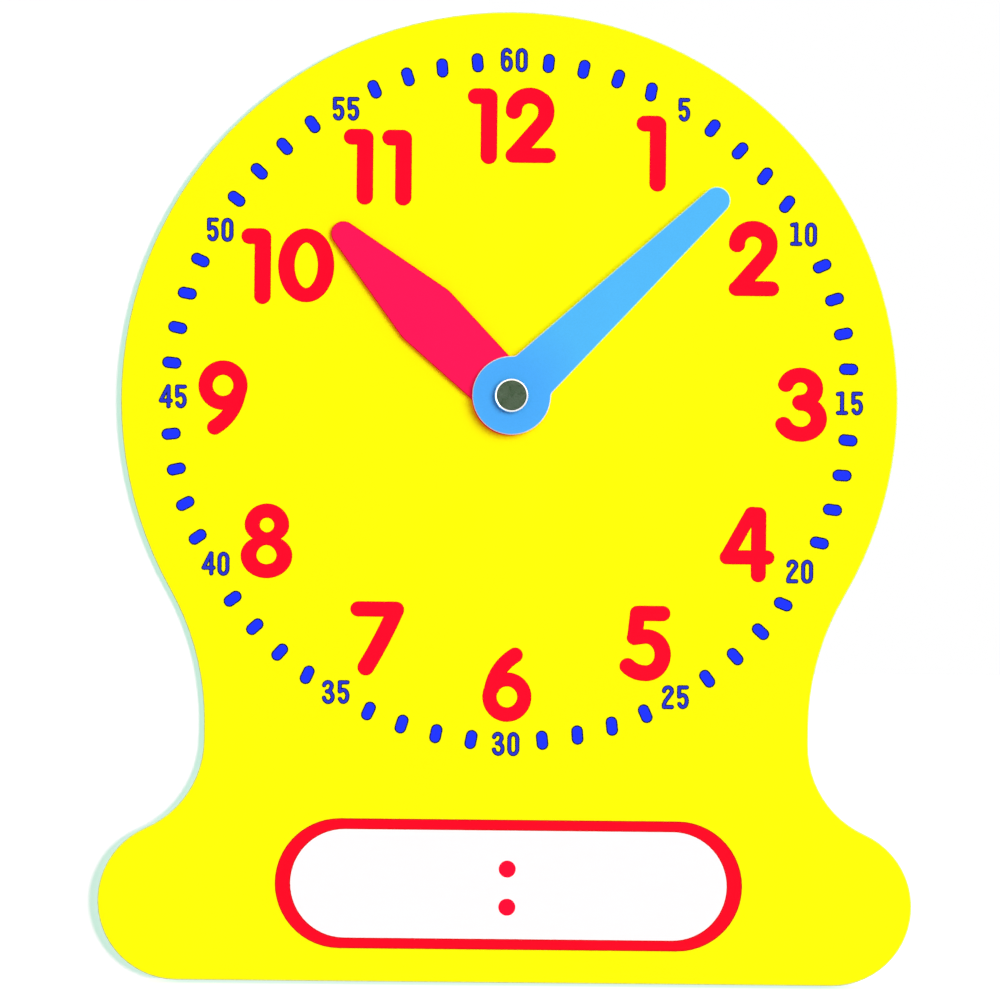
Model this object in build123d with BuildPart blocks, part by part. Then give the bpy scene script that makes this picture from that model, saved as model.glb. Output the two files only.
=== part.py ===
from build123d import *
from math import asin, atan2, cos, hypot, radians, sin
import os

# Classroom demonstration clock: a printed board with two flat hands on one double-cap rivet.
# Millimetres. The dial faces -Y, with +X to the right and +Z up as it is read.
# The origin is the middle of the flat base edge, half way through the board's thickness.

# Board outline
dial_radius = 160.0
dial_lift = 80.0  # lowest point of the dial circle above the base edge
neck_inset = 35.5  # how far the neck draws in from the side of the dial
neck_height = 98.9  # lower end of the narrowest place, above the base edge
neck_straight = 7.6  # length of the narrowest place
foot_overhang = 7.7  # how far a foot stands out past the side of the dial
foot_radius = 32.6
board_thickness = 3.0
film_thickness = 0.5
film_edge = 0.35  # eased edge round the front of the film

# Writing panel at the foot, let into the face film inside its red border
panel_length = 179.9
panel_width = 44.7
panel_height = 40.4  # its middle above the base edge
panel_shift = 1.6  # its middle to the right of the dial's
border_end = 6.3
border_side = 4.4
inlay_gap = 0.05

# Printed ink that stands on the film
ink_thickness = 0.05
mark_inset = 19.8  # middle of the ring of marks, in from the edge of the dial
mark_length = 8.0
mark_width = 4.8
mark_corner = 1.5  # cut off each corner of a mark
dot_radius = 3.5
dot_spacing = 15.7
dot_shift = 0.55  # the dots to the left of the panel's middle
dot_drop = 1.35  # their middle below the panel's

# Hands, measured from the middles of their hubs
pivot_rise = 2.0  # the rivet sits a little above the middle of the dial
pivot_shift = 0.95  # and a little to the right of it
hand_thickness = 1.0
hand_edge = 0.35  # eased edge round the front of a hand
hand_play = 0.05
hub_fillet = 3.0
hour_angle = 313.9  # clockwise from twelve
hour_length = 101.2
hour_hub_radius = 15.8
hour_offset = 0.9  # its hub and blade stand this far to the left of its hole
hour_root_width = 22.5
hour_shoulder_width = 27.4
hour_shoulder_distance = 48.8
hour_shoulder_round = 15.0
hour_tip_radius = 5.1
minute_angle = 45.9
minute_length = 122.0
minute_hub_radius = 16.2
minute_root_width = 22.6
minute_tip_radius = 5.6

# Rivet and washers
cap_radius = 7.1
cap_edge = 0.95  # rolled edge of a cap
cap_wall = 0.4
cap_lip = 1.6  # width of the rim that is crimped under a flange
cap_head_room = 0.4
flange_thickness = 0.5
flange_gap = 0.05
socket_radius = 3.0
socket_wall = 0.6
post_gap = 0.05
post_wall = 0.5
clinch_reach = 1.2  # how far the post's end is spread over the socket's flange
clinch_height = 0.5
clinch_bevel = 0.3
pivot_gap = 0.05  # round the socket, in each piece that it passes through
washer_radius = 12.0
washer_thickness = 1.0
back_washer_thickness = 0.5

# Heights and half widths of the outline
dial_height = dial_lift + dial_radius
pivot_height = dial_height + pivot_rise
neck_half = dial_radius - neck_inset
foot_half = dial_radius + foot_overhang
foot_centre_x = foot_half - foot_radius

# The neck is straight at its narrowest place, with an arc at each end. The upper arc is tangent to the
# dial circle, and the lower one to the foot's, which fixes both radii.
neck_top = neck_height + neck_straight
neck_drop = dial_height - neck_top
upper_neck_radius = (neck_half**2 + neck_drop**2 - dial_radius**2) / (2 * neck_inset)
foot_step = foot_centre_x - neck_half
foot_rise = neck_height - foot_radius
lower_neck_radius = (foot_step**2 + foot_rise**2 - foot_radius**2) / (2 * (foot_radius + foot_step))

# Forward distances of the stack, from the middle of the board
board_back = -board_thickness / 2
board_front = board_thickness / 2
face_front = board_front + film_thickness
hour_back = face_front + washer_thickness + hand_play
hour_front = hour_back + hand_thickness
hand_washer_back = hour_front + hand_play
minute_back = hand_washer_back + washer_thickness + hand_play
minute_front = minute_back + hand_thickness
front_cap_seat = minute_front + hand_play
back_cap_seat = board_back - back_washer_thickness
post_flange_back = front_cap_seat + cap_wall
post_flange_front = post_flange_back + flange_thickness
socket_flange_front = back_cap_seat - cap_wall
socket_flange_back = socket_flange_front - flange_thickness
clinch_back = socket_flange_back - clinch_height

# Radii and heights of the rivet's pieces
pivot_hole_radius = socket_radius + pivot_gap
socket_bore = socket_radius - socket_wall
post_radius = socket_bore - post_gap
post_bore = post_radius - post_wall
clinch_radius = post_radius + clinch_reach
flange_radius = cap_radius - cap_wall - flange_gap
lip_radius = cap_radius - cap_wall - cap_lip
cap_height = cap_wall + flange_thickness + clinch_height + cap_head_room + cap_wall

# The rivet's axis, and a plane through it with x as the radius and y as the forward distance
pivot_axis = Axis((pivot_shift, 0, pivot_height), (0, -1, 0))
rivet_section = Plane(origin=(pivot_shift, 0, pivot_height), x_dir=(1, 0, 0), z_dir=(0, 0, -1))


# Outline of the board, as the dial is read: x to the right and y up
def tangent_point(centre, radius, other_centre):
    """Point of a circle on the line from its centre to another circle's."""
    along = (other_centre[0] - centre[0], other_centre[1] - centre[1])
    reach = radius / hypot(*along)
    return (centre[0] + along[0] * reach, centre[1] + along[1] * reach)


dial_centre = (0, dial_height)
upper_neck_centre = (neck_half + upper_neck_radius, neck_top)
lower_neck_centre = (neck_half + lower_neck_radius, neck_height)
foot_centre = (foot_centre_x, foot_radius)
dial_end = tangent_point(dial_centre, dial_radius, upper_neck_centre)
foot_start = tangent_point(foot_centre, foot_radius, lower_neck_centre)

with BuildSketch() as board_outline:
    with BuildLine():
        crown = ThreePointArc((0, dial_height + dial_radius), (dial_radius, dial_height), dial_end)
        TangentArc(dial_end, (neck_half, neck_top), tangent=crown % 1)
        waist = Line((neck_half, neck_top), (neck_half, neck_height))
        lower_neck = TangentArc((neck_half, neck_height), foot_start, tangent=waist % 1)
        TangentArc(foot_start, (foot_centre_x, 0), tangent=lower_neck % 1)
        Line((foot_centre_x, 0), (0, 0))
        mirror(about=Plane.YZ)
    make_face()


# Face board
with BuildPart() as face_board:
    with BuildSketch(Plane.XZ.offset(board_back)):
        add(board_outline.sketch)
        with Locations((pivot_shift, pivot_height)):
            Circle(pivot_hole_radius, mode=Mode.SUBTRACT)
    extrude(amount=board_thickness)


# Printed film on the face, the red border in its window, and the white panel inside that
border_length = panel_length + 2 * border_end
border_width = panel_width + 2 * border_side

with BuildPart() as face_film:
    with BuildSketch(Plane.XZ.offset(board_front)):
        add(board_outline.sketch)
        with Locations((pivot_shift, pivot_height)):
            Circle(pivot_hole_radius, mode=Mode.SUBTRACT)
        with Locations((panel_shift, panel_height)):
            SlotOverall(border_length + 2 * inlay_gap, border_width + 2 * inlay_gap, mode=Mode.SUBTRACT)
    extrude(amount=film_thickness)
    film_face = face_film.faces().sort_by(Axis.Y)[0]
    chamfer(film_face.outer_wire().edges(), film_edge)

with BuildPart() as panel_border:
    with BuildSketch(Plane.XZ.offset(board_front)):
        with Locations((panel_shift, panel_height)):
            SlotOverall(border_length, border_width)
            SlotOverall(panel_length + 2 * inlay_gap, panel_width + 2 * inlay_gap, mode=Mode.SUBTRACT)
    extrude(amount=film_thickness)

with BuildPart() as writing_panel:
    with BuildSketch(Plane.XZ.offset(board_front)):
        with Locations((panel_shift, panel_height)):
            SlotOverall(panel_length, panel_width)
    extrude(amount=film_thickness)


# Minute marks: a ring of dashes, one a minute, with the fifth minutes left free for their numbers
hours = 12
minutes_between = 4
hour_turn = 360 / hours
minute_turn = hour_turn / (minutes_between + 1)
mark_ring_radius = dial_radius - mark_inset

with BuildPart() as minute_marks:
    with BuildSketch(Plane.XZ.offset(face_front)) as marks:
        with Locations((0, dial_height)):
            for hour in range(hours):
                first_mark = hour * hour_turn + minute_turn
                span = minutes_between * minute_turn
                with PolarLocations(mark_ring_radius, minutes_between, first_mark, span):
                    Rectangle(mark_length, mark_width)
        chamfer(marks.vertices(), mark_corner)
    extrude(amount=ink_thickness)


# The two dots between hours and minutes on the writing panel
with BuildPart() as panel_dots:
    with BuildSketch(Plane.XZ.offset(face_front)):
        with Locations((panel_shift - dot_shift, panel_height - dot_drop)):
            with GridLocations(0, dot_spacing, 1, 2):
                Circle(dot_radius)
    extrude(amount=ink_thickness)


# Hands: a round hub and a blade with straight sides, which run tangent into a round tip
def clock_hand(back, angle, hub_radius, side, length, tip_radius, shoulder_round=0, offset=0):
    """side lists the corners on the blade's right, as half widths and distances from the hub's middle."""
    turn = radians(angle)
    hub_middle = (pivot_shift - offset * cos(turn), -back, pivot_height + offset * sin(turn))
    dial_plane = Plane(origin=hub_middle, x_dir=(cos(turn), 0, -sin(turn)), z_dir=(0, -1, 0))
    tip_distance = length - tip_radius
    corner_half, corner_distance = side[-1]
    to_tip = hypot(corner_half, tip_distance - corner_distance)
    lean = atan2(corner_half, tip_distance - corner_distance) - asin(tip_radius / to_tip)
    tip_x = tip_radius * cos(lean)
    tip_y = tip_distance + tip_radius * sin(lean)
    with BuildPart() as hand:
        with BuildSketch(dial_plane) as blade:
            with BuildLine():
                edge = Polyline((0, 0), *side, (tip_x, tip_y))
                mirror(edge, about=Plane.YZ)
                ThreePointArc((tip_x, tip_y), (0, length), (-tip_x, tip_y))
            make_face()
            if shoulder_round:
                shoulders = blade.vertices().filter_by_position(Axis.Y, hub_radius, tip_distance)
                fillet(shoulders, shoulder_round)
            Circle(hub_radius)
            roots = blade.vertices().filter_by_position(Axis.Y, 0, hub_radius, inclusive=(False, True))
            fillet(roots, hub_fillet)
            with Locations((offset, 0)):
                Circle(pivot_hole_radius, mode=Mode.SUBTRACT)
        extrude(amount=hand_thickness)
        front = hand.faces().sort_by(Axis.Y)[0]
        chamfer(front.outer_wire().edges(), hand_edge)
    return hand


hour_side = [(hour_root_width / 2, 0), (hour_shoulder_width / 2, hour_shoulder_distance)]
hour_hand = clock_hand(
    hour_back, hour_angle, hour_hub_radius, hour_side, hour_length, hour_tip_radius, hour_shoulder_round,
    hour_offset,
)
minute_side = [(minute_root_width / 2, 0)]
minute_hand = clock_hand(
    minute_back, minute_angle, minute_hub_radius, minute_side, minute_length, minute_tip_radius
)


# Washers: one behind the board, one on the face and one between the hands
def washer(back, thickness):
    with BuildPart() as ring:
        with BuildSketch(Plane.XZ.offset(back)):
            with Locations((pivot_shift, pivot_height)):
                Circle(washer_radius)
                Circle(pivot_hole_radius, mode=Mode.SUBTRACT)
        extrude(amount=thickness)
    return ring


back_washer = washer(back_cap_seat, back_washer_thickness)
face_washer = washer(face_front, washer_thickness)
hand_washer = washer(hand_washer_back, washer_thickness)


# Rivet caps: a drawn cup with a rolled edge, its rim crimped inwards under a flange
def rolled_corner(radius, level, roll, away):
    """A round corner in two flats, from the top of a cap to its side."""
    half_way = roll * sin(radians(45))
    return [
        (radius - roll, level),
        (radius - roll + half_way, level - away * (roll - half_way)),
        (radius, level - away * roll),
    ]


def crimped_cap(seat, away):
    """away is 1 for a cap that stands forward of its seat, and -1 for one behind it."""
    top = seat + away * cap_height
    inner_top = top - away * cap_wall
    lip_top = seat + away * cap_wall
    inside = cap_radius - cap_wall
    outer_corner = rolled_corner(cap_radius, top, cap_edge, away)
    inner_corner = rolled_corner(inside, inner_top, cap_edge - cap_wall, away)
    rim = [(cap_radius, seat), (lip_radius, seat), (lip_radius, lip_top), (inside, lip_top)]
    with BuildPart() as cap:
        with BuildSketch(rivet_section):
            with BuildLine():
                Polyline((0, top), *outer_corner, *rim, *reversed(inner_corner), (0, inner_top), close=True)
            make_face()
        revolve(axis=pivot_axis)
    return cap


front_cap = crimped_cap(front_cap_seat, 1)
back_cap = crimped_cap(back_cap_seat, -1)


# Rivet socket: the flanged tube that both hands turn on
with BuildPart() as rivet_socket:
    with BuildSketch(rivet_section):
        with BuildLine():
            Polyline(
                (socket_bore, socket_flange_back), (flange_radius, socket_flange_back),
                (flange_radius, socket_flange_front), (socket_radius, socket_flange_front),
                (socket_radius, post_flange_back), (socket_bore, post_flange_back),
                close=True,
            )
        make_face()
    revolve(axis=pivot_axis)


# Rivet post: the flanged tube inside the socket, with its far end spread over the socket's flange
with BuildPart() as rivet_post:
    with BuildSketch(rivet_section) as tube_wall:
        with BuildLine():
            Polyline(
                (post_bore, post_flange_front), (flange_radius, post_flange_front),
                (flange_radius, post_flange_back), (post_radius, post_flange_back),
                (post_radius, socket_flange_back), (clinch_radius, socket_flange_back),
                (clinch_radius, clinch_back), (post_bore, clinch_back),
                close=True,
            )
        make_face()
        chamfer(tube_wall.vertices().sort_by_distance((clinch_radius, clinch_back))[0], clinch_bevel)
        chamfer(tube_wall.vertices().sort_by_distance((post_bore, clinch_back))[0], clinch_bevel)
    revolve(axis=pivot_axis)


pieces = {
    "face_board": face_board,
    "face_film": face_film,
    "panel_border": panel_border,
    "writing_panel": writing_panel,
    "panel_dots": panel_dots,
    "minute_marks": minute_marks,
    "hour_hand": hour_hand,
    "minute_hand": minute_hand,
    "back_washer": back_washer,
    "face_washer": face_washer,
    "hand_washer": hand_washer,
    "front_cap": front_cap,
    "back_cap": back_cap,
    "rivet_socket": rivet_socket,
    "rivet_post": rivet_post,
}

os.makedirs("parts", exist_ok=True)
for label, piece in pieces.items():
    piece.part.label = label
    export_step(piece.part, f"parts/{label}.step")
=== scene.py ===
import bmesh
import bpy
import math
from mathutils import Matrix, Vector
from mathutils.geometry import delaunay_2d_cdt


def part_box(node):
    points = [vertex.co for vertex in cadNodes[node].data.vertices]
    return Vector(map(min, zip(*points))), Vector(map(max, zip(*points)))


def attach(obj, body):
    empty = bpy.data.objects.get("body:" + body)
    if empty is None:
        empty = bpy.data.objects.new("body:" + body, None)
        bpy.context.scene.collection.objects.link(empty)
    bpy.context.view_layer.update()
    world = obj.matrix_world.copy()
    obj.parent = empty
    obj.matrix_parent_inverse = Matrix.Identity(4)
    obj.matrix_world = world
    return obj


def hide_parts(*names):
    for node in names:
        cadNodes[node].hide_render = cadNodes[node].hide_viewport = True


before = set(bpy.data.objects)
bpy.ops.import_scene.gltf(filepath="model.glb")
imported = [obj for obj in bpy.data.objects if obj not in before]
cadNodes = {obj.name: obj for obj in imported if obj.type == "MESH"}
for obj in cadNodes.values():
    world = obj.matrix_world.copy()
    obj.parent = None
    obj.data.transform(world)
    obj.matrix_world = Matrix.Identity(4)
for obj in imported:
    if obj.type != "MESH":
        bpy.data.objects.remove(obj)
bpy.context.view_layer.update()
scene = bpy.context.scene

# Measures that several pieces share, in metres
mm = 0.001
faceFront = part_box("face_film")[0].y  # the printed face, which looks along -Y
dialHeight = 240 * mm
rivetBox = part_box("front_cap")
pivotX, pivotHeight = [(rivetBox[0][axis] + rivetBox[1][axis]) / 2 for axis in (0, 2)]
printGrid = 0.41216 * mm  # one step of the grid that the printed figures are drawn on


# Finishes

wear = {"edge": 0.15, "rim": 0.04, "paintedCreaseShade": 0.2}  # share of a colour that is lost where its grain is high, also on the cap's painted highlight and painted crease shade
textureDetail = {"patches": 2, "grain": 4, "blotches": 5, "scratches": 6}
bumpDepth = {"plastic": 0.02 * mm, "metal": 0.01 * mm}
cloudDepth = 0.4 * mm  # how far light goes into cloudy plastic
flatSpread = (0.8, 0.97)  # a normal's share along Y, from a cut edge to a flat face


def fromScreen(red, green, blue):  # a screen colour, as the linear one that a socket takes
    def linear(c):
        return c / 12.92 if c < 0.04045 else ((c + 0.055) / 1.055) ** 2.4
    return (linear(red / 255), linear(green / 255), linear(blue / 255), 1)


def dimmed(colour, part):
    return tuple(c * part for c in colour[:3]) + (1,)


def newFinish(name):
    finish = bpy.data.materials.new(name)
    finish.use_nodes = True
    return finish, finish.node_tree, finish.node_tree.nodes["Principled BSDF"]


def grain(tree, scale, detail, stretch=(1, 1, 1)):
    coords = tree.nodes.new("ShaderNodeTexCoord")
    mapping = tree.nodes.new("ShaderNodeMapping")
    mapping.inputs["Scale"].default_value = stretch
    noise = tree.nodes.new("ShaderNodeTexNoise")
    noise.inputs["Scale"].default_value = scale
    noise.inputs["Detail"].default_value = detail
    tree.links.new(coords.outputs["Object"], mapping.inputs["Vector"])
    tree.links.new(mapping.outputs["Vector"], noise.inputs["Vector"])
    return noise.outputs["Fac"]


def between(tree, factor, first, second, spread=(0.36, 0.64)):
    ramp = tree.nodes.new("ShaderNodeValToRGB")
    for stop, place, colour in zip(ramp.color_ramp.elements, spread, (first, second)):
        stop.position = place
        stop.color = colour
    tree.links.new(factor, ramp.inputs["Fac"])
    return ramp.outputs["Color"]


def shaded(tree, factor, colour, loss):  # a colour that loses a share of itself where the texture is high
    return between(tree, factor, colour, dimmed(colour, 1 - loss))


def ranged(tree, factor, low, high, spread=(0.3, 0.7)):
    node = tree.nodes.new("ShaderNodeMapRange")
    for socket, value in zip(("From Min", "From Max", "To Min", "To Max"), (*spread, low, high)):
        node.inputs[socket].default_value = value
    tree.links.new(factor, node.inputs["Value"])
    return node.outputs["Result"]


def mixed(tree, factor, first, second, mode="MIX"):
    node = tree.nodes.new("ShaderNodeMix")
    node.data_type = "RGBA"
    node.blend_type = mode
    if isinstance(factor, float):
        node.inputs[0].default_value = factor
    else:
        tree.links.new(factor, node.inputs[0])
    tree.links.new(first, node.inputs[6])
    tree.links.new(second, node.inputs[7])
    return node.outputs[2]


def worked(tree, operation, *values):
    node = tree.nodes.new("ShaderNodeMath")
    node.operation = operation
    for value, socket in zip(values, node.inputs):
        tree.links.new(value, socket)
    return node.outputs[0]


def relief(tree, height, strength, depth):
    bump = tree.nodes.new("ShaderNodeBump")
    bump.inputs["Strength"].default_value = strength
    bump.inputs["Distance"].default_value = depth
    tree.links.new(height, bump.inputs["Height"])
    return bump.outputs["Normal"]


def faceShare(tree, backOnly=False):  # 1 on faces in the dial's plane, or on backs alone, and 0 on cut edges
    geometry = tree.nodes.new("ShaderNodeNewGeometry")
    parts = tree.nodes.new("ShaderNodeSeparateXYZ")
    tree.links.new(geometry.outputs["True Normal"], parts.inputs["Vector"])
    along = parts.outputs["Y"] if backOnly else worked(tree, "ABSOLUTE", parts.outputs["Y"])
    return ranged(tree, along, 0, 1, flatSpread)


def fromPivot(tree, near, far):  # 0 within the nearer radius of the rivet's axis, 1 past the farther one
    coords = tree.nodes.new("ShaderNodeTexCoord")
    flat = tree.nodes.new("ShaderNodeVectorMath")
    flat.operation = "MULTIPLY"
    flat.inputs[1].default_value = (1, 0, 1)
    away = tree.nodes.new("ShaderNodeVectorMath")
    away.operation = "DISTANCE"
    away.inputs[1].default_value = (pivotX, 0, pivotHeight)
    tree.links.new(coords.outputs["Object"], flat.inputs[0])
    tree.links.new(flat.outputs["Vector"], away.inputs[0])
    return ranged(tree, away.outputs["Value"], 0, 1, (near, far))


def plasticFinish(name, look):
    # colour wanders slowly in patches and quickly in the grain, and the grain also stands in relief
    finish, tree, shader = newFinish(name)
    patches = grain(tree, look["patchScale"], textureDetail["patches"])
    fine = grain(tree, look["grainScale"], textureDetail["grain"], look.get("stretch", (1, 1, 1)))
    surface = shaded(tree, patches, look["colour"], look["patchDepth"])
    # a darker colour toward the pivot, a painted shade on the minute hand's hub
    if "hub" in look:
        hub = shaded(tree, patches, look["hub"], look["patchDepth"])
        surface = mixed(tree, fromPivot(tree, *look["hubReach"]), hub, surface)
    speckle = shaded(tree, fine, (1, 1, 1, 1), look["grainDepth"])
    surface = mixed(tree, 1.0, surface, speckle, "MULTIPLY")
    if "edge" in look:
        cut = shaded(tree, fine, look["edge"], wear["edge"])
        if "hubEdge" in look:
            hubCut = shaded(tree, fine, look["hubEdge"], wear["edge"])
            cut = mixed(tree, fromPivot(tree, *look["hubReach"]), hubCut, cut)
        surface = mixed(tree, faceShare(tree), cut, surface)
    if "back" in look:  # a sheet that is coloured on its front only
        reverse = shaded(tree, fine, look["back"], wear["edge"])
        surface = mixed(tree, faceShare(tree, backOnly=True), surface, reverse)
    tree.links.new(surface, shader.inputs["Base Color"])
    tree.links.new(ranged(tree, patches, *look["roughness"]), shader.inputs["Roughness"])
    tree.links.new(relief(tree, fine, look["relief"], bumpDepth["plastic"]), shader.inputs["Normal"])
    shader.inputs["Specular IOR Level"].default_value = look["gloss"]
    shader.inputs["Subsurface Weight"].default_value = look.get("cloudy", 0)
    shader.inputs["Subsurface Scale"].default_value = cloudDepth
    return finish


def platedFinish(name, look):
    # plate tarnishes in blotches, and its scratches stand in relief
    finish, tree, shader = newFinish(name)
    blotches = grain(tree, look["patchScale"], textureDetail["blotches"])
    scratches = grain(tree, look["grainScale"], textureDetail["scratches"])
    colour = between(tree, blotches, look["colour"], look["tarnish"], spread=(0.38, 0.62))
    if "rim" in look:  # the rolled bead is painted near white, a painted highlight, between a painted dark shade in the crease and on the outer side
        rim = shaded(tree, scratches, look["rim"], wear["rim"])
        paintedCreaseShade = shaded(tree, scratches, look["paintedCreaseShade"], wear["paintedCreaseShade"])
        for reach, paintedTone in (("paintedCreaseReach", paintedCreaseShade), ("rimReach", rim), ("paintedSideShadeReach", paintedCreaseShade)):
            colour = mixed(tree, fromPivot(tree, *look[reach]), colour, paintedTone)
    tree.links.new(colour, shader.inputs["Base Color"])
    tree.links.new(ranged(tree, blotches, *look["roughness"]), shader.inputs["Roughness"])
    tree.links.new(relief(tree, scratches, look["relief"], bumpDepth["metal"]), shader.inputs["Normal"])
    shader.inputs["Metallic"].default_value = 1
    return finish


def dress(node, finish):  # a CAD node that keeps its own shape
    slots = cadNodes[node].material_slots
    if slots:
        slots[0].material = finish
    else:
        cadNodes[node].data.materials.append(finish)


def addPiece(name, points, faces, finish):
    mesh = bpy.data.meshes.new(name)
    mesh.from_pydata(points, [], faces)
    mesh.materials.append(finish)
    piece = bpy.data.objects.new(name, mesh)
    scene.collection.objects.link(piece)
    return piece


# Board and printed film

# The board's cut edge is painted a little darker and greener than its face: a painted shade, with a green tint
# that offsets the pinkish ambient light on edges turned from the key lamp
boardLook = {
    "colour": fromScreen(240, 240, 236), "patchScale": 30, "patchDepth": 0.03,
    "grainScale": 900, "grainDepth": 0.04, "stretch": (1, 0.1, 1), "edge": fromScreen(212, 220, 211),
    "roughness": (0.45, 0.6), "gloss": 0.3, "relief": 0.15,
}
filmLook = {
    "colour": fromScreen(255, 255, 3), "patchScale": 22, "patchDepth": 0.01,
    "grainScale": 1400, "grainDepth": 0.01, "edge": fromScreen(226, 255, 130),
    "roughness": (0.3, 0.42), "gloss": 0.04, "relief": 0.05,
}
panelLook = {
    "colour": fromScreen(253, 253, 253), "patchScale": 26, "patchDepth": 0.006,
    "grainScale": 500, "grainDepth": 0.006, "stretch": (0.2, 1, 1),
    "roughness": (0.16, 0.26), "gloss": 0.2, "relief": 0.02,
}
borderLook = {
    "colour": fromScreen(255, 6, 38), "patchScale": 40, "patchDepth": 0.02,
    "grainScale": 1100, "grainDepth": 0.02,
    "roughness": (0.3, 0.42), "gloss": 0.04, "relief": 0.06,
}
dotLook = dict(borderLook, colour=fromScreen(255, 9, 55))
dress("face_board", plasticFinish("whiteBoardSheet", boardLook))
dress("face_film", plasticFinish("yellowFilm", filmLook))
dress("writing_panel", plasticFinish("wipeCleanPanel", panelLook))
dress("panel_border", plasticFinish("redPrint", borderLook))
dress("panel_dots", plasticFinish("redDotPrint", dotLook))
print("board, film and panel dressed")


# Printed figures, drawn as strokes of an oval nib and made into thin sheets of ink

arcStep = 6  # degrees between the points of an arc
nibEndSteps = 7  # steps in each quarter of a stroke's round end


def line(*points):
    return list(points)


def arc(centre, radii, start, end):
    steps = max(2, round(abs(end - start) / arcStep))
    angles = [math.radians(start + (end - start) * i / steps) for i in range(steps + 1)]
    return [(centre[0] + radii[0] * math.cos(a), centre[1] + radii[1] * math.sin(a)) for a in angles]


def strokeOutline(path, nib):  # outline of a nib's stroke, anticlockwise
    def nibEdge(p, heading):
        n = (math.cos(heading), math.sin(heading))
        reach = math.hypot(nib[0] * n[0], nib[1] * n[1])
        return (p[0] + nib[0] ** 2 * n[0] / reach, p[1] + nib[1] ** 2 * n[1] / reach)
    headings = []
    for i in range(len(path)):
        a, b = path[max(i - 1, 0)], path[min(i + 1, len(path) - 1)]
        headings.append(math.atan2(b[1] - a[1], b[0] - a[0]))
    quarter = math.pi / 2
    fan = [quarter * (1 - i / nibEndSteps) for i in range(1, 2 * nibEndSteps)]
    left = [nibEdge(p, h + quarter) for p, h in zip(path, headings)]
    right = [nibEdge(p, h - quarter) for p, h in zip(path, headings)]
    endCap = [nibEdge(path[-1], headings[-1] + t) for t in fan]
    startCap = [nibEdge(path[0], headings[0] + math.pi + t) for t in fan]
    return (left + endCap + right[::-1] + startCap)[::-1]


def inkSheet(name, outlines, back, thickness, finish):
    # overlapping outlines, in grid steps from the dial's middle, become one closed sheet of ink
    corners, loops = [], []
    for outline in outlines:
        loops.append(list(range(len(corners), len(corners) + len(outline))))
        corners += [Vector(p) for p in outline]
    flat = delaunay_2d_cdt(corners, [], loops, 0, 1e-4, True)
    triangles = [t for t, owners in zip(flat[2], flat[5]) if owners]
    used = {corner: i for i, corner in enumerate(sorted({c for t in triangles for c in t}))}
    triangles = [[used[c] for c in t] for t in triangles]
    count = len(used)
    places = [(flat[0][c].x * printGrid, dialHeight + flat[0][c].y * printGrid) for c in used]
    points = [(x, back - thickness, z) for x, z in places] + [(x, back, z) for x, z in places]
    sides = {(t[i], t[(i + 1) % 3]) for t in triangles for i in range(3)}
    walls = [(j, i, i + count, j + count) for i, j in sides if (j, i) not in sides]
    backs = [[c + count for c in reversed(t)] for t in triangles]
    return addPiece(name, points, triangles + backs + sorted(walls), finish)


def figureOutlines(strokes, place, thinner=0):
    outlines = []
    for nib, path in strokes:
        outline = strokeOutline(path, (nib[0] - thinner, nib[1] - thinner))
        outlines.append([(x + place[0], y + place[1]) for x, y in outline])
    return outlines


# Hour figures: 74 steps high, each placed by its lower left corner
hourFigures = {
    "0": [((7.9, 6.8), arc((28, 36.7), (19.8, 29.8), 0, 180)),
          ((7.9, 6.8), arc((28, 36.7), (19.8, 29.8), 180, 360))],
    "1": [((7.7, 7.6), line((7.8, 67.5), (20.4, 67.5))), ((7.9, 7.9), line((21.3, 66.6), (21.3, 7.9)))],
    "2": [((7.8, 7.6), arc((23.4, 52.3), (15.7, 14.9), 183, 90) + arc((23.7, 51.2), (16.2, 16), 84, 46)
           + arc((24.5, 51.8), (15.6, 15.8), 42, 0) + arc((20.1, 51.2), (20, 20), -6, -38.5)
           + line((9.6, 8.6))),
          ((7.6, 7.2), line((7.6, 7.4), (42.2, 7.4)))],
    "3": [((7.6, 7.1), arc((24, 52.5), (15, 13.6), 163, -90)),
          ((7.9, 7.2), arc((25, 22.4), (17.8, 15.5), 90, -90) + arc((25, 22.4), (18.8, 15.5), -96, -158))],
    "4": [((6.3, 6.3), line((7, 24.9), (31, 68.1))), ((6.9, 6.9), line((31.6, 68), (38, 67.6))),
          ((7.2, 7.2), line((38.7, 67.4), (38.7, 7.3))), ((6.8, 6.8), line((7, 24.6), (47.6, 24.6)))],
    "5": [((7.4, 7.3), line((42.4, 67.6), (17.4, 67.6))), ((7.3, 7.3), line((17.4, 67.6), (14.8, 43.4))),
          ((7.8, 6.9), line((14.8, 43.2)) + arc((26.2, 26.2), (16.7, 18.4), 100, 0)),
          ((7.8, 7.6), arc((26.2, 26.2), (16.6, 18.4), 6, -90) + arc((26, 26.2), (23, 18.4), -96, -142))],
    "6": [((6.8, 6.7), arc((24.1, 24.9), (17.4, 17.4), 0, 180)),
          ((6.8, 6.9), arc((24.1, 24.9), (17.4, 17.8), 180, 360)),
          ((7.3, 7.3), arc((57.8, 24.2), (49.65, 49.65), 169, 121.3))],
    "7": [((7.7, 7.3), line((7.8, 66.3), (45.4, 66.3))),
          ((8, 8), line((45.2, 65.6), (38.8, 51.4), (31.6, 36.6), (24, 22.2), (15.8, 8.1)))],
    "8": [((7.2, 6.8), arc((25.7, 53), (14.7, 14.2), 0, 180)),
          ((7.2, 4.8), arc((25.7, 53), (14.7, 12.5), 180, 360)),
          ((7.6, 4.6), arc((25.5, 22.5), (17.9, 15.2), 0, 180)),
          ((7.6, 6.7), arc((25.5, 22.5), (17.9, 15.8), 180, 360))],
}
figureSix = {"width": 48.2, "height": 73.6}  # turned half round, it is the nine
hourFigures["9"] = [
    (nib, [(figureSix["width"] - x, figureSix["height"] - y) for x, y in path])
    for nib, path in hourFigures["6"]
]

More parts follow.
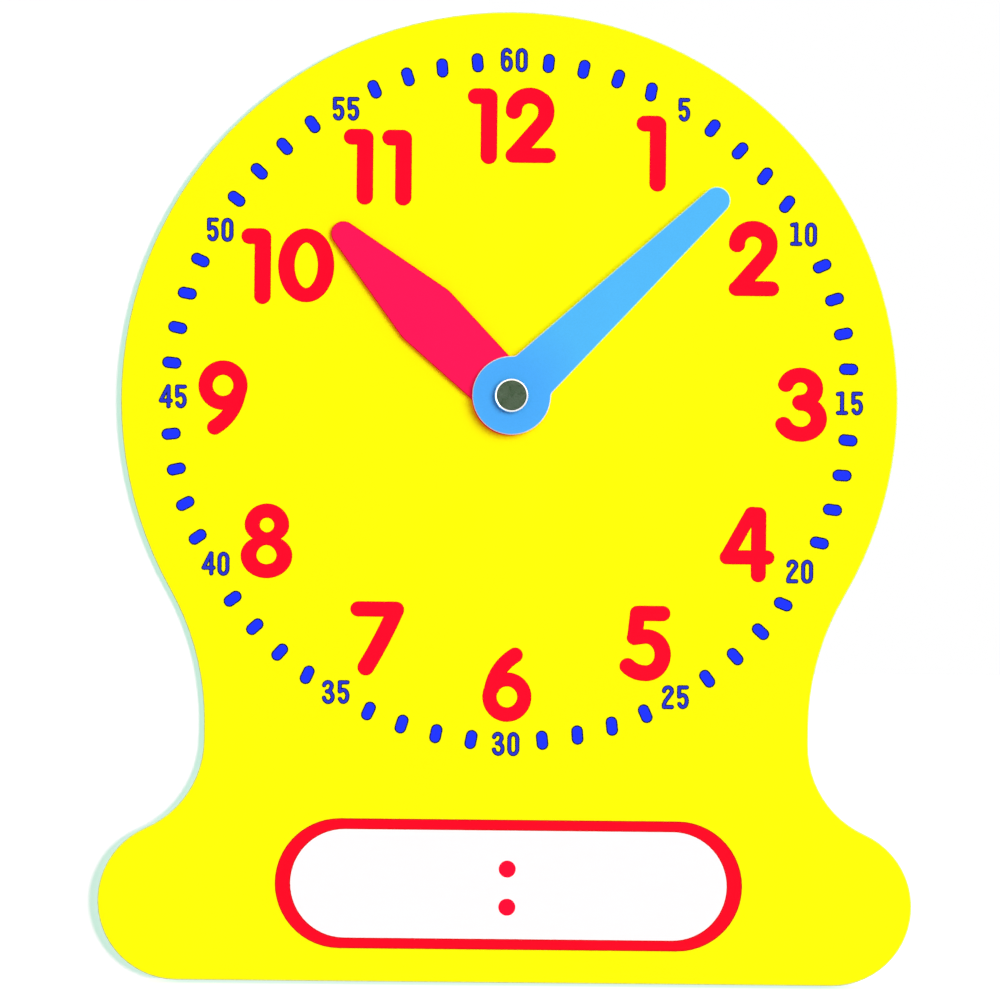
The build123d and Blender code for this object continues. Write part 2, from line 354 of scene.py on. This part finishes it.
hourPrint = {
    "places": [
        ("1", -44.2, 236.3), ("2", -5.9, 237.7), ("1", 124.8, 210.5), ("2", 218.5, 106.7), ("3", 266.7, -37.9),
        ("4", 211.9, -179.2), ("5", 113, -279.2), ("6", -23.6, -321.2), ("7", -156.6, -276.2),
        ("8", -266.7, -179.8), ("9", -310.4, -36.6), ("1", -269.1, 94.2), ("0", -232.3, 96.3),
        ("1", -167.8, 194.5), ("1", -129.3, 194),
    ],
    "inkSpread": 0.35,  # how far the ink spreads past the nib
    "edgeSteps": 0.8,  # darker line left round each figure where the inks overlap
    "edgeThickness": 0.03 * mm, "thickness": 0.02 * mm,
}
numeralLook = dict(borderLook, colour=fromScreen(255, 6, 43))
numeralEdgeLook = dict(borderLook, colour=fromScreen(222, 18, 2))


def printFigures(name, figures, places, finish, back, thickness, thinner=0):
    outlines = []
    for digit, x, y in places:
        outlines += figureOutlines(figures[digit], (x, y), thinner)
    piece = inkSheet(name, outlines, back, thickness, finish)
    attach(piece, "board")
    return piece


def slotPath(middle, length, width):  # closed path round a slot, in grid steps from the dial's middle
    end, straight = width / 2, (length - width) / 2
    right = arc((middle[0] + straight, middle[1]), (end, end), -90, 90)
    left = arc((middle[0] - straight, middle[1]), (end, end), 90, 270)
    return [right + left[:1], left + right[:1]]  # two halves that overlap where they meet


# Darker lines at both edges of the panel's border, where its ink overlaps the next
borderLines = {"nib": (0.5, 0.5), "inset": 0.2 * mm, "thickness": 0.02 * mm}
borderLineLook = dict(borderLook, colour=fromScreen(214, 22, 8))
lineOutlines = []
for node, side in (("panel_border", -1), ("writing_panel", 1)):
    low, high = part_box(node)
    middle = ((low.x + high.x) / 2 / printGrid, ((low.z + high.z) / 2 - dialHeight) / printGrid)
    extra = 2 * side * borderLines["inset"]
    length, width = (high.x - low.x + extra) / printGrid, (high.z - low.z + extra) / printGrid
    lineOutlines += [strokeOutline(path, borderLines["nib"]) for path in slotPath(middle, length, width)]
borderEdges = inkSheet(
    "panelBorderEdges", lineOutlines, faceFront, borderLines["thickness"],
    plasticFinish("redPrintLine", borderLineLook))
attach(borderEdges, "board")
print("panel border lined")


hourEdges = printFigures(
    "hourNumeralEdges", hourFigures, hourPrint["places"], plasticFinish("redPrintEdge", numeralEdgeLook),
    faceFront, hourPrint["edgeThickness"], -hourPrint["inkSpread"])
hourNumerals = printFigures(
    "hourNumerals", hourFigures, hourPrint["places"], plasticFinish("redNumeralPrint", numeralLook),
    faceFront - hourPrint["edgeThickness"], hourPrint["thickness"],
    hourPrint["edgeSteps"] - hourPrint["inkSpread"])
print("hour numerals printed:", len(hourPrint["places"]), "figures")


# Minute figures: 24 steps high, each placed by its middle
minuteNib = (2.25, 2.25)
minuteStrokes = {
    "0": [arc((0, 4.95), (3.95, 5), 0, 180) + line((-3.95, -4.95)),
          arc((0, -4.95), (3.95, 5), 180, 360) + line((3.95, 4.95))],
    "1": [line((-4.2, 9.4), (0, 10.2)), line((0, 10.2), (0, -9.2)), line((-4, -9.4), (4, -9.4))],
    "2": [arc((0, 6.1), (3.85, 3.85), 180, -25) + line((-2.7, -4.3), (-3.9, -7.3), (-4, -9.6)),
          line((-4, -9.7), (4, -9.7))],
    "3": [arc((-0.7, 6.3), (3.8, 3.75), 170, -40) + line((1.2, 0.8)), line((-1.6, 0.7), (2, 0.7)),
          line((0.8, 0.9)) + arc((-0.2, -4.8), (4.3, 5), 65, -170)],
    "4": [line((2.2, 10.3), (-4.9, -3.8)), line((2.7, 10.2), (2.7, -9.7)), line((-5, -4.1), (5, -4.1))],
    "5": [line((4, 10), (-3.5, 10)), line((-3.6, 10), (-3.6, 0.8)),
          line((-3.6, 0.8)) + arc((0.1, -3.6), (3.95, 5.95), 110, -150)],
    "6": [arc((0, -3.7), (4, 6.1), 0, 180), arc((0, -3.7), (4, 6.1), 180, 360),
          line((-4.05, -3.7), (-4, 5.5)) + arc((-0.2, 5.6), (3.8, 4.5), 180, 30)],
}
minuteFigures = {digit: [(minuteNib, path) for path in paths] for digit, paths in minuteStrokes.items()}
minutePrint = {
    "numbers": {
        "60": (1.7, 340.3), "5": (171.9, 292), "10": (292.6, 168.7), "15": (340.1, 0.1),
        "20": (292, -168.3), "25": (168.9, -295.2), "30": (0, -343.5), "35": (-170.4, -293.4),
        "40": (-291.5, -166.1), "45": (-335.9, 0.5), "50": (-290.8, 167.7), "55": (-166.3, 289.7),
    },
    "digitStep": 14.8, "edgeSteps": 0.95,
    "edgeThickness": 0.03 * mm, "thickness": 0.02 * mm,
}
markLook = dict(borderLook, colour=fromScreen(30, 55, 255))
minuteLook = dict(borderLook, colour=fromScreen(44, 58, 214))
navyLook = dict(borderLook, colour=fromScreen(16, 20, 52))
minutePlaces = []
for number, (x, y) in minutePrint["numbers"].items():
    first = x - minutePrint["digitStep"] * (len(number) - 1) / 2
    minutePlaces += [(digit, first + i * minutePrint["digitStep"], y) for i, digit in enumerate(number)]
navyPrint = plasticFinish("navyPrint", navyLook)
minuteEdges = printFigures(
    "minuteNumeralEdges", minuteFigures, minutePlaces, navyPrint, faceFront, minutePrint["edgeThickness"])
minuteNumerals = printFigures(
    "minuteNumerals", minuteFigures, minutePlaces, plasticFinish("blueNumeralPrint", minuteLook),
    faceFront - minutePrint["edgeThickness"], minutePrint["thickness"], minutePrint["edgeSteps"])
print("minute numerals printed:", len(minutePlaces), "figures")


# Minute marks: 48 round-ended dashes, set on a ring by one node tree

markRing = {
    "middle": (0.25 * mm, -0.45 * mm), "radius": 140.2 * mm, "minutes": 60, "numberStep": 5,
    "length": 8.04 * mm, "width": 4.86 * mm, "outline": 0.5 * mm,
    "edgeThickness": 0.03 * mm, "thickness": 0.02 * mm,
    "endRound": 0.495, "endSteps": 7,  # ends rounded by just under half the width
    "weld": 0.001 * mm,
    # dashes that lean from their radius, in degrees by minute
    "leans": {4: -13.5, 8: -12, 9: -16.5, 14: 7, 17: -9, 18: -11, 19: -13, 21: -14, 27: 12, 28: 8, 31: 5,
              36: -11, 41: -10, 42: -10, 48: -8, 58: 7},
}


def markTree():
    tree = bpy.data.node_groups.new("minuteMarkRing", "GeometryNodeTree")
    tree.interface.new_socket("Places", in_out="INPUT", socket_type="NodeSocketGeometry")
    for name in ("Length", "Width", "Thickness"):
        tree.interface.new_socket(name, in_out="INPUT", socket_type="NodeSocketFloat")
    tree.interface.new_socket("Ink", in_out="INPUT", socket_type="NodeSocketMaterial")
    tree.interface.new_socket("Marks", in_out="OUTPUT", socket_type="NodeSocketGeometry")
    add, link = tree.nodes.new, tree.links.new
    given, made = add("NodeGroupInput"), add("NodeGroupOutput")
    dash = add("GeometryNodeCurvePrimitiveQuadrilateral")
    link(given.outputs["Width"], dash.inputs["Width"])
    link(given.outputs["Length"], dash.inputs["Height"])
    endRadius = worked(tree, "MULTIPLY", given.outputs["Width"])
    endRadius.node.inputs[1].default_value = markRing["endRound"]
    rounded = add("GeometryNodeFilletCurve")
    rounded.mode = "POLY"
    rounded.inputs["Count"].default_value = markRing["endSteps"]
    link(dash.outputs["Curve"], rounded.inputs["Curve"])
    link(endRadius, rounded.inputs["Radius"])
    filled = add("GeometryNodeFillCurve")
    filled.mode = "NGONS"
    link(rounded.outputs["Curve"], filled.inputs["Curve"])
    raised = add("GeometryNodeExtrudeMesh")
    raised.inputs["Individual"].default_value = False
    link(filled.outputs["Mesh"], raised.inputs["Mesh"])
    link(given.outputs["Thickness"], raised.inputs["Offset Scale"])
    underside = add("GeometryNodeFlipFaces")
    link(filled.outputs["Mesh"], underside.inputs["Mesh"])
    joined = add("GeometryNodeJoinGeometry")
    link(raised.outputs["Mesh"], joined.inputs["Geometry"])
    link(underside.outputs["Mesh"], joined.inputs["Geometry"])
    welded = add("GeometryNodeMergeByDistance")
    welded.inputs["Distance"].default_value = markRing["weld"]
    link(joined.outputs["Geometry"], welded.inputs["Geometry"])
    turn = add("GeometryNodeInputNamedAttribute")  # stands the dash up to face -Y, then turns it on the dial
    turn.data_type = "FLOAT"
    turn.inputs["Name"].default_value = "turn"
    angles = add("ShaderNodeCombineXYZ")
    angles.inputs["X"].default_value = math.pi / 2
    link(turn.outputs["Attribute"], angles.inputs["Y"])
    rotation = add("FunctionNodeEulerToRotation")
    link(angles.outputs["Vector"], rotation.inputs["Euler"])
    placed = add("GeometryNodeInstanceOnPoints")
    link(given.outputs["Places"], placed.inputs["Points"])
    link(welded.outputs["Geometry"], placed.inputs["Instance"])
    link(rotation.outputs["Rotation"], placed.inputs["Rotation"])
    real = add("GeometryNodeRealizeInstances")
    link(placed.outputs["Instances"], real.inputs["Geometry"])
    inked = add("GeometryNodeSetMaterial")
    link(real.outputs["Geometry"], inked.inputs["Geometry"])
    link(given.outputs["Ink"], inked.inputs["Material"])
    link(inked.outputs["Geometry"], made.inputs["Marks"])
    return tree


def markPlaces(name, back):
    points, turns = [], []
    for minute in range(markRing["minutes"]):
        if minute % markRing["numberStep"]:  # the numbers stand in the other places
            angle = math.radians(360 / markRing["minutes"] * minute)
            x, z = math.sin(angle) * markRing["radius"], math.cos(angle) * markRing["radius"]
            points.append((markRing["middle"][0] + x, back, dialHeight + markRing["middle"][1] + z))
            turns.append(angle + math.radians(markRing["leans"].get(minute, 0)))
    mesh = bpy.data.meshes.new(name)
    mesh.from_pydata(points, [], [])
    mesh.attributes.new("turn", "FLOAT", "POINT").data.foreach_set("value", turns)
    piece = bpy.data.objects.new(name, mesh)
    scene.collection.objects.link(piece)
    return piece


def grow(piece, tree, **sizes):  # runs a node tree on a piece and keeps the plain mesh
    modifier = piece.modifiers.new(tree.name, "NODES")
    modifier.node_group = tree
    for item in tree.interface.items_tree:
        if item.in_out == "INPUT" and item.name in sizes:
            modifier[item.identifier] = sizes[item.name]
    bpy.context.view_layer.update()
    depsgraph = bpy.context.evaluated_depsgraph_get()
    mesh = bpy.data.meshes.new_from_object(piece.evaluated_get(depsgraph))
    piece.modifiers.remove(modifier)
    piece.data = mesh
    mesh.name = piece.name
    return piece


ringTree = markTree()
markEdges = grow(
    markPlaces("minuteMarkEdges", faceFront), ringTree, Length=markRing["length"], Width=markRing["width"],
    Thickness=markRing["edgeThickness"], Ink=navyPrint)
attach(markEdges, "board")
marks = grow(
    markPlaces("minuteMarks", faceFront - markRing["edgeThickness"]), ringTree,
    Length=markRing["length"] - 2 * markRing["outline"], Width=markRing["width"] - 2 * markRing["outline"],
    Thickness=markRing["thickness"], Ink=plasticFinish("bluePrint", markLook))
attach(marks, "board")
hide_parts("minute_marks")
print("minute marks placed:", len(marks.data.polygons), "faces")


# Hands and washers

hourHandLook = {
    "colour": fromScreen(255, 19, 89), "patchScale": 60, "patchDepth": 0.02,
    "grainScale": 1500, "grainDepth": 0.04, "edge": fromScreen(236, 16, 18),
    "roughness": (0.4, 0.55), "gloss": 0.05, "relief": 0.2,
}
minuteHandLook = {
    "colour": fromScreen(82, 190, 255), "patchScale": 60, "patchDepth": 0.02,
    "grainScale": 1500, "grainDepth": 0.04,
    "edge": fromScreen(196, 255, 215), "back": fromScreen(232, 214, 202),
    # The hub is painted a little darker blue than the blade, a painted shade
    "hub": fromScreen(75, 175, 255), "hubEdge": fromScreen(230, 228, 255), "hubReach": (12 * mm, 34 * mm),
    "roughness": (0.4, 0.55), "gloss": 0.05, "relief": 0.2,
}
washerLook = {
    "colour": fromScreen(236, 238, 235), "patchScale": 160, "patchDepth": 0.06,
    "grainScale": 1500, "grainDepth": 0.04, "cloudy": 0.4,
    "roughness": (0.35, 0.5), "gloss": 0.35, "relief": 0.1,
}
dress("hour_hand", plasticFinish("redHandSheet", hourHandLook))
dress("minute_hand", plasticFinish("blueHandSheet", minuteHandLook))
polythene = plasticFinish("naturalPolythene", washerLook)
for washer in ("back_washer", "face_washer", "hand_washer"):
    dress(washer, polythene)
print("hands and washers dressed")


# Rivet: bright caps with a rolled bead round a flat disc, and the plated tubes inside them

capLook = {
    "colour": fromScreen(171, 182, 161), "tarnish": fromScreen(144, 156, 136), "patchScale": 420,
    "grainScale": 2400, "roughness": (0.15, 0.24), "relief": 0.15,
    # The crease round the disc and the cap's outer side are painted dark, a painted shade, and the rolled bead
    # is painted near white, a painted highlight
    "paintedCreaseShade": fromScreen(120, 124, 108), "paintedCreaseReach": (5.85 * mm, 6.05 * mm),
    "rim": fromScreen(253, 253, 251), "rimReach": (6.14 * mm, 6.2 * mm), "paintedSideShadeReach": (7 * mm, 7.06 * mm),
}
tubeLook = {
    "colour": fromScreen(203, 199, 184), "tarnish": fromScreen(170, 164, 140), "patchScale": 380,
    "grainScale": 2200, "roughness": (0.22, 0.38), "relief": 0.25,
}
rivetCap = {
    "radius": 7.1 * mm, "height": 2.2 * mm, "ridge": 6.72 * mm, "ridgeRound": 0.06 * mm, "shoulder": 0.6 * mm,
    "disc": 6.15 * mm, "discRing": 0.5, "discDrop": 0.32 * mm, "wall": 0.3 * mm,
    "rim": 0.35 * mm, "lipRadius": 5.1 * mm, "lipWall": 0.4 * mm, "inside": 6.7 * mm, "insideRound": 0.5 * mm,
    "segments": 96, "sharpAngle": 20,
}


def capProfile():  # radius and height above the seat, from the middle of the top round to the inside
    cap = rivetCap
    top, rim, ridge, inner = cap["height"], cap["rim"], cap["ridgeRound"], cap["insideRound"]
    disc = top - cap["discDrop"]
    profile = [(0, disc), (cap["disc"] * cap["discRing"], disc), (cap["disc"], disc)]
    profile += arc((cap["ridge"], top - ridge), (ridge, ridge), 120, 30)
    profile += [(cap["radius"], top - cap["shoulder"])]
    profile += arc((cap["radius"] - rim, rim), (rim, rim), 0, -90)
    profile += [(cap["lipRadius"], 0), (cap["lipRadius"], cap["lipWall"]), (cap["inside"], cap["lipWall"])]
    under = disc - cap["wall"]
    profile += arc((cap["inside"] - inner, under - inner), (inner, inner), 0, 90)
    return profile + [(0, under)]


def capShell(name, seat, away, finish):
    profile, count = capProfile(), rivetCap["segments"]
    rings = profile[1:-1]
    points = [(pivotX, seat + away * profile[row][1], pivotHeight) for row in (0, -1)]
    for radius, height in rings:
        for i in range(count):
            a = 2 * math.pi * i / count
            x, z = pivotX + radius * math.cos(a), pivotHeight + radius * math.sin(a)
            points.append((x, seat + away * height, z))
    starts = [2 + row * count for row in range(len(rings))]  # each ring's first point, after the two middles
    faces = []
    for i in range(count):
        j = (i + 1) % count
        faces += [(0, starts[0] + i, starts[0] + j), (1, starts[-1] + j, starts[-1] + i)]
        faces += [(near + i, far + i, far + j, near + j) for near, far in zip(starts, starts[1:])]
    cap = addPiece(name, points, faces, finish)
    shell = bmesh.new()
    shell.from_mesh(cap.data)
    bmesh.ops.recalc_face_normals(shell, faces=shell.faces)
    shell.to_mesh(cap.data)
    shell.free()
    cap.data.shade_smooth()
    cap.data.set_sharp_from_angle(angle=math.radians(rivetCap["sharpAngle"]))
    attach(cap, "board")
    return cap


nickelPlateWithPaintedLight = platedFinish("nickelPlateWithPaintedLight", capLook)
frontCap = capShell("frontCap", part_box("front_cap")[1].y, -1, nickelPlateWithPaintedLight)
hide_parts("front_cap")
backCap = capShell("backCap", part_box("back_cap")[0].y, 1, nickelPlateWithPaintedLight)
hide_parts("back_cap")
platedBrass = platedFinish("platedBrass", tubeLook)
dress("rivet_socket", platedBrass)
dress("rivet_post", platedBrass)
print("rivet made")


# Light: the tints of the lamps and of the ambient light make up white between them on the clock's face

lamps = {
    "keyLight": {"toward": (0.68, -1, 0.33), "strength": 2.5, "softness": 42, "colour": (0.8, 1.02, 0.91)},
    "rearLight": {"toward": (-1, 1, 0.6), "strength": 1.93, "softness": 40, "colour": (0.64, 1.15, 1)},
    "backdropLight": {
        "toward": (0.72, -1, 0.12), "strength": 2.46, "softness": 14, "colour": (0.8, 1.02, 0.91)},
}
ambientColour = (0.58, 0.365, 0.44, 1)


def addSun(name, toward, strength, softness, colour):
    lamp = bpy.data.lights.new(name, "SUN")
    lamp.energy = strength
    lamp.color = colour
    lamp.angle = math.radians(softness)
    sun = bpy.data.objects.new(name, lamp)
    sun.rotation_euler = (-Vector(toward)).to_track_quat("-Z", "Y").to_euler()
    scene.collection.objects.link(sun)
    return sun


def showMixed(tree, factor, first, second, output="Material Output"):
    mix = tree.nodes.new("ShaderNodeMixShader")
    for source, socket in zip((factor, first, second), mix.inputs):
        tree.links.new(source, socket)
    tree.links.new(mix.outputs[0], tree.nodes[output].inputs["Surface"])


def lightWorld():  # a plain ambient light, which the camera, metal and clear pieces see as white
    world = bpy.data.worlds.new("studioWorld")
    scene.world = world
    world.use_nodes = True
    tree = world.node_tree
    ambient = tree.nodes["Background"]
    ambient.inputs["Color"].default_value = ambientColour
    white = tree.nodes.new("ShaderNodeBackground")
    white.inputs["Color"].default_value = (1, 1, 1, 1)
    path = tree.nodes.new("ShaderNodeLightPath")
    seen = path.outputs["Is Camera Ray"]
    for ray in ("Is Glossy Ray", "Is Transmission Ray"):
        seen = worked(tree, "MAXIMUM", seen, path.outputs[ray])
    showMixed(tree, seen, ambient.outputs[0], white.outputs[0], "World Output")


keySun, rearSun, backdropSun = [addSun(name, **lamp) for name, lamp in lamps.items()]
rearSun.data.use_shadow = False  # lights the back and lays no second shadow in front of the clock
lightWorld()
print("lamps set")


# Floor, backdrop and card

floorSheet = {
    "half": 4, "level": -0.05 * mm, "glow": (0.47, 0.47, 0.47, 1), "colour": (0.9, 0.9, 0.9, 1),
    "shadeFront": fromScreen(221, 245, 235), "shadeBehind": fromScreen(230, 234, 232), "shadeTurn": 2 * mm,
    "shadeReach": (30 * mm, 8 * mm), "shadeEnds": (160 * mm, 130 * mm),
}
backdropSheet = {
    "left": -1.2, "right": -0.01, "top": 1.2, "near": 1.6 * mm, "far": 4.2 * mm, "bend": (60 * mm, 95 * mm),
    "rows": 24, "crowding": 2,  # the rows stand closer together toward the foot
    "glow": (0.02, 0.7, 0.42, 1), "colour": (0.98, 0.33, 0.62, 1),
}
cardSheet = {"half": 2, "place": (0, -3.2, 0.3), "glow": (0.065, 0.13, 0.0625, 1), "colour": (0, 0, 0, 1)}


def glowingFinish(name, sheet):  # a surface with a glow of its own, which still takes a shadow
    finish, tree, shader = newFinish(name)
    tree.nodes.remove(shader)
    emission = tree.nodes.new("ShaderNodeEmission")
    emission.inputs["Color"].default_value = sheet["glow"]
    diffuse = tree.nodes.new("ShaderNodeBsdfDiffuse")
    diffuse.inputs["Color"].default_value = sheet["colour"]
    both = tree.nodes.new("ShaderNodeAddShader")
    tree.links.new(emission.outputs[0], both.inputs[0])
    tree.links.new(diffuse.outputs[0], both.inputs[1])
    tree.links.new(both.outputs[0], tree.nodes["Material Output"].inputs["Surface"])
    return finish, tree, both.outputs[0]


def contactShade(tree, surface):  # lays a shade along the base edge, which fades away from it
    coords = tree.nodes.new("ShaderNodeTexCoord")
    parts = tree.nodes.new("ShaderNodeSeparateXYZ")
    tree.links.new(coords.outputs["Object"], parts.inputs["Vector"])
    shares = []
    for axis, reach in (("X", floorSheet["shadeEnds"]), ("Y", floorSheet["shadeReach"])):
        shares.append(ranged(tree, worked(tree, "ABSOLUTE", parts.outputs[axis]), 0, 1, reach))
        shares[-1].node.interpolation_type = "SMOOTHSTEP"
    side = ranged(tree, parts.outputs["Y"], 0, 1, (-floorSheet["shadeTurn"], floorSheet["shadeTurn"]))
    shade = tree.nodes.new("ShaderNodeEmission")
    colour = between(tree, side, floorSheet["shadeFront"], floorSheet["shadeBehind"], spread=(0, 1))
    tree.links.new(colour, shade.inputs["Color"])
    showMixed(tree, worked(tree, "MULTIPLY", *shares), surface, shade.outputs[0])


def frontOnly(tree, surface):  # seen by the camera from its front, and by nothing else
    path = tree.nodes.new("ShaderNodeLightPath")
    geometry = tree.nodes.new("ShaderNodeNewGeometry")
    shown = worked(tree, "SUBTRACT", path.outputs["Is Camera Ray"], geometry.outputs["Backfacing"])
    shown.node.use_clamp = True
    clear = tree.nodes.new("ShaderNodeBsdfTransparent")
    showMixed(tree, shown, clear.outputs[0], surface)


def square(half):
    return [(-half, -half), (half, -half), (half, half), (-half, half)]


floorFinish, floorTree, floorSurface = glowingFinish("paleFloor", floorSheet)
contactShade(floorTree, floorSurface)
floorPoints = [(x, y, floorSheet["level"]) for x, y in square(floorSheet["half"])]
floor = addPiece("floor", floorPoints, [(0, 1, 2, 3)], floorFinish)
floor.visible_diffuse = floor.visible_shadow = False  # it neither lights nor shades the clock

# The backdrop is close behind the left half, where the clock's shadow falls, and drawn back at its foot
wallPoints, wallFaces = [], []
for row in range(backdropSheet["rows"] + 1):
    z = backdropSheet["top"] * (row / backdropSheet["rows"]) ** backdropSheet["crowding"]
    low, high = backdropSheet["bend"]
    share = min(max((high - z) / (high - low), 0), 1)
    y = backdropSheet["near"] + (backdropSheet["far"] - backdropSheet["near"]) * share
    wallPoints += [(backdropSheet["left"], y, z), (backdropSheet["right"], y, z)]
    if row:
        a = 2 * row
        wallFaces.append((a - 2, a - 1, a + 1, a))
wallFinish, wallTree, wallSurface = glowingFinish("whiteBackdrop", backdropSheet)
frontOnly(wallTree, wallSurface)
wall = addPiece("backdrop", wallPoints, wallFaces, wallFinish)
wall.visible_diffuse = wall.visible_glossy = wall.visible_transmission = wall.visible_shadow = False
for sun, state in ((backdropSun, "INCLUDE"), (keySun, "EXCLUDE")):  # it has a harder light of its own
    lit = bpy.data.collections.new(sun.name + "Receivers")
    lit.objects.link(wall)
    lit.collection_objects[0].light_linking.link_state = state
    sun.light_linking.receiver_collection = lit

# The dark card is behind the camera, and only the bright metal and the gloss see it
cardX, cardY, cardZ = cardSheet["place"]
cardPoints = [(cardX - x, cardY, cardZ + z) for x, z in square(cardSheet["half"])]
card = addPiece("card", cardPoints, [(0, 1, 2, 3)], glowingFinish("oliveCard", cardSheet)[0])
card.visible_camera = card.visible_diffuse = card.visible_transmission = card.visible_shadow = False
print("floor, backdrop and card set")


# Camera

view = {
    "place": (-3.425 * mm, -2201.7 * mm, 198.93 * mm), "roll": -0.565,
    "lens": 192.2, "sensor": 36, "clips": (0.05, 50),
}
lens = bpy.data.cameras.new("photoCamera")
lens.lens = view["lens"]
lens.sensor_width = view["sensor"]
lens.clip_start, lens.clip_end = view["clips"]
camera = bpy.data.objects.new("photoCamera", lens)
camera.location = view["place"]
camera.rotation_euler = (math.radians(90), math.radians(view["roll"]), 0)
scene.collection.objects.link(camera)
scene.camera = camera
scene.view_settings.view_transform = "Standard"
print("camera set")
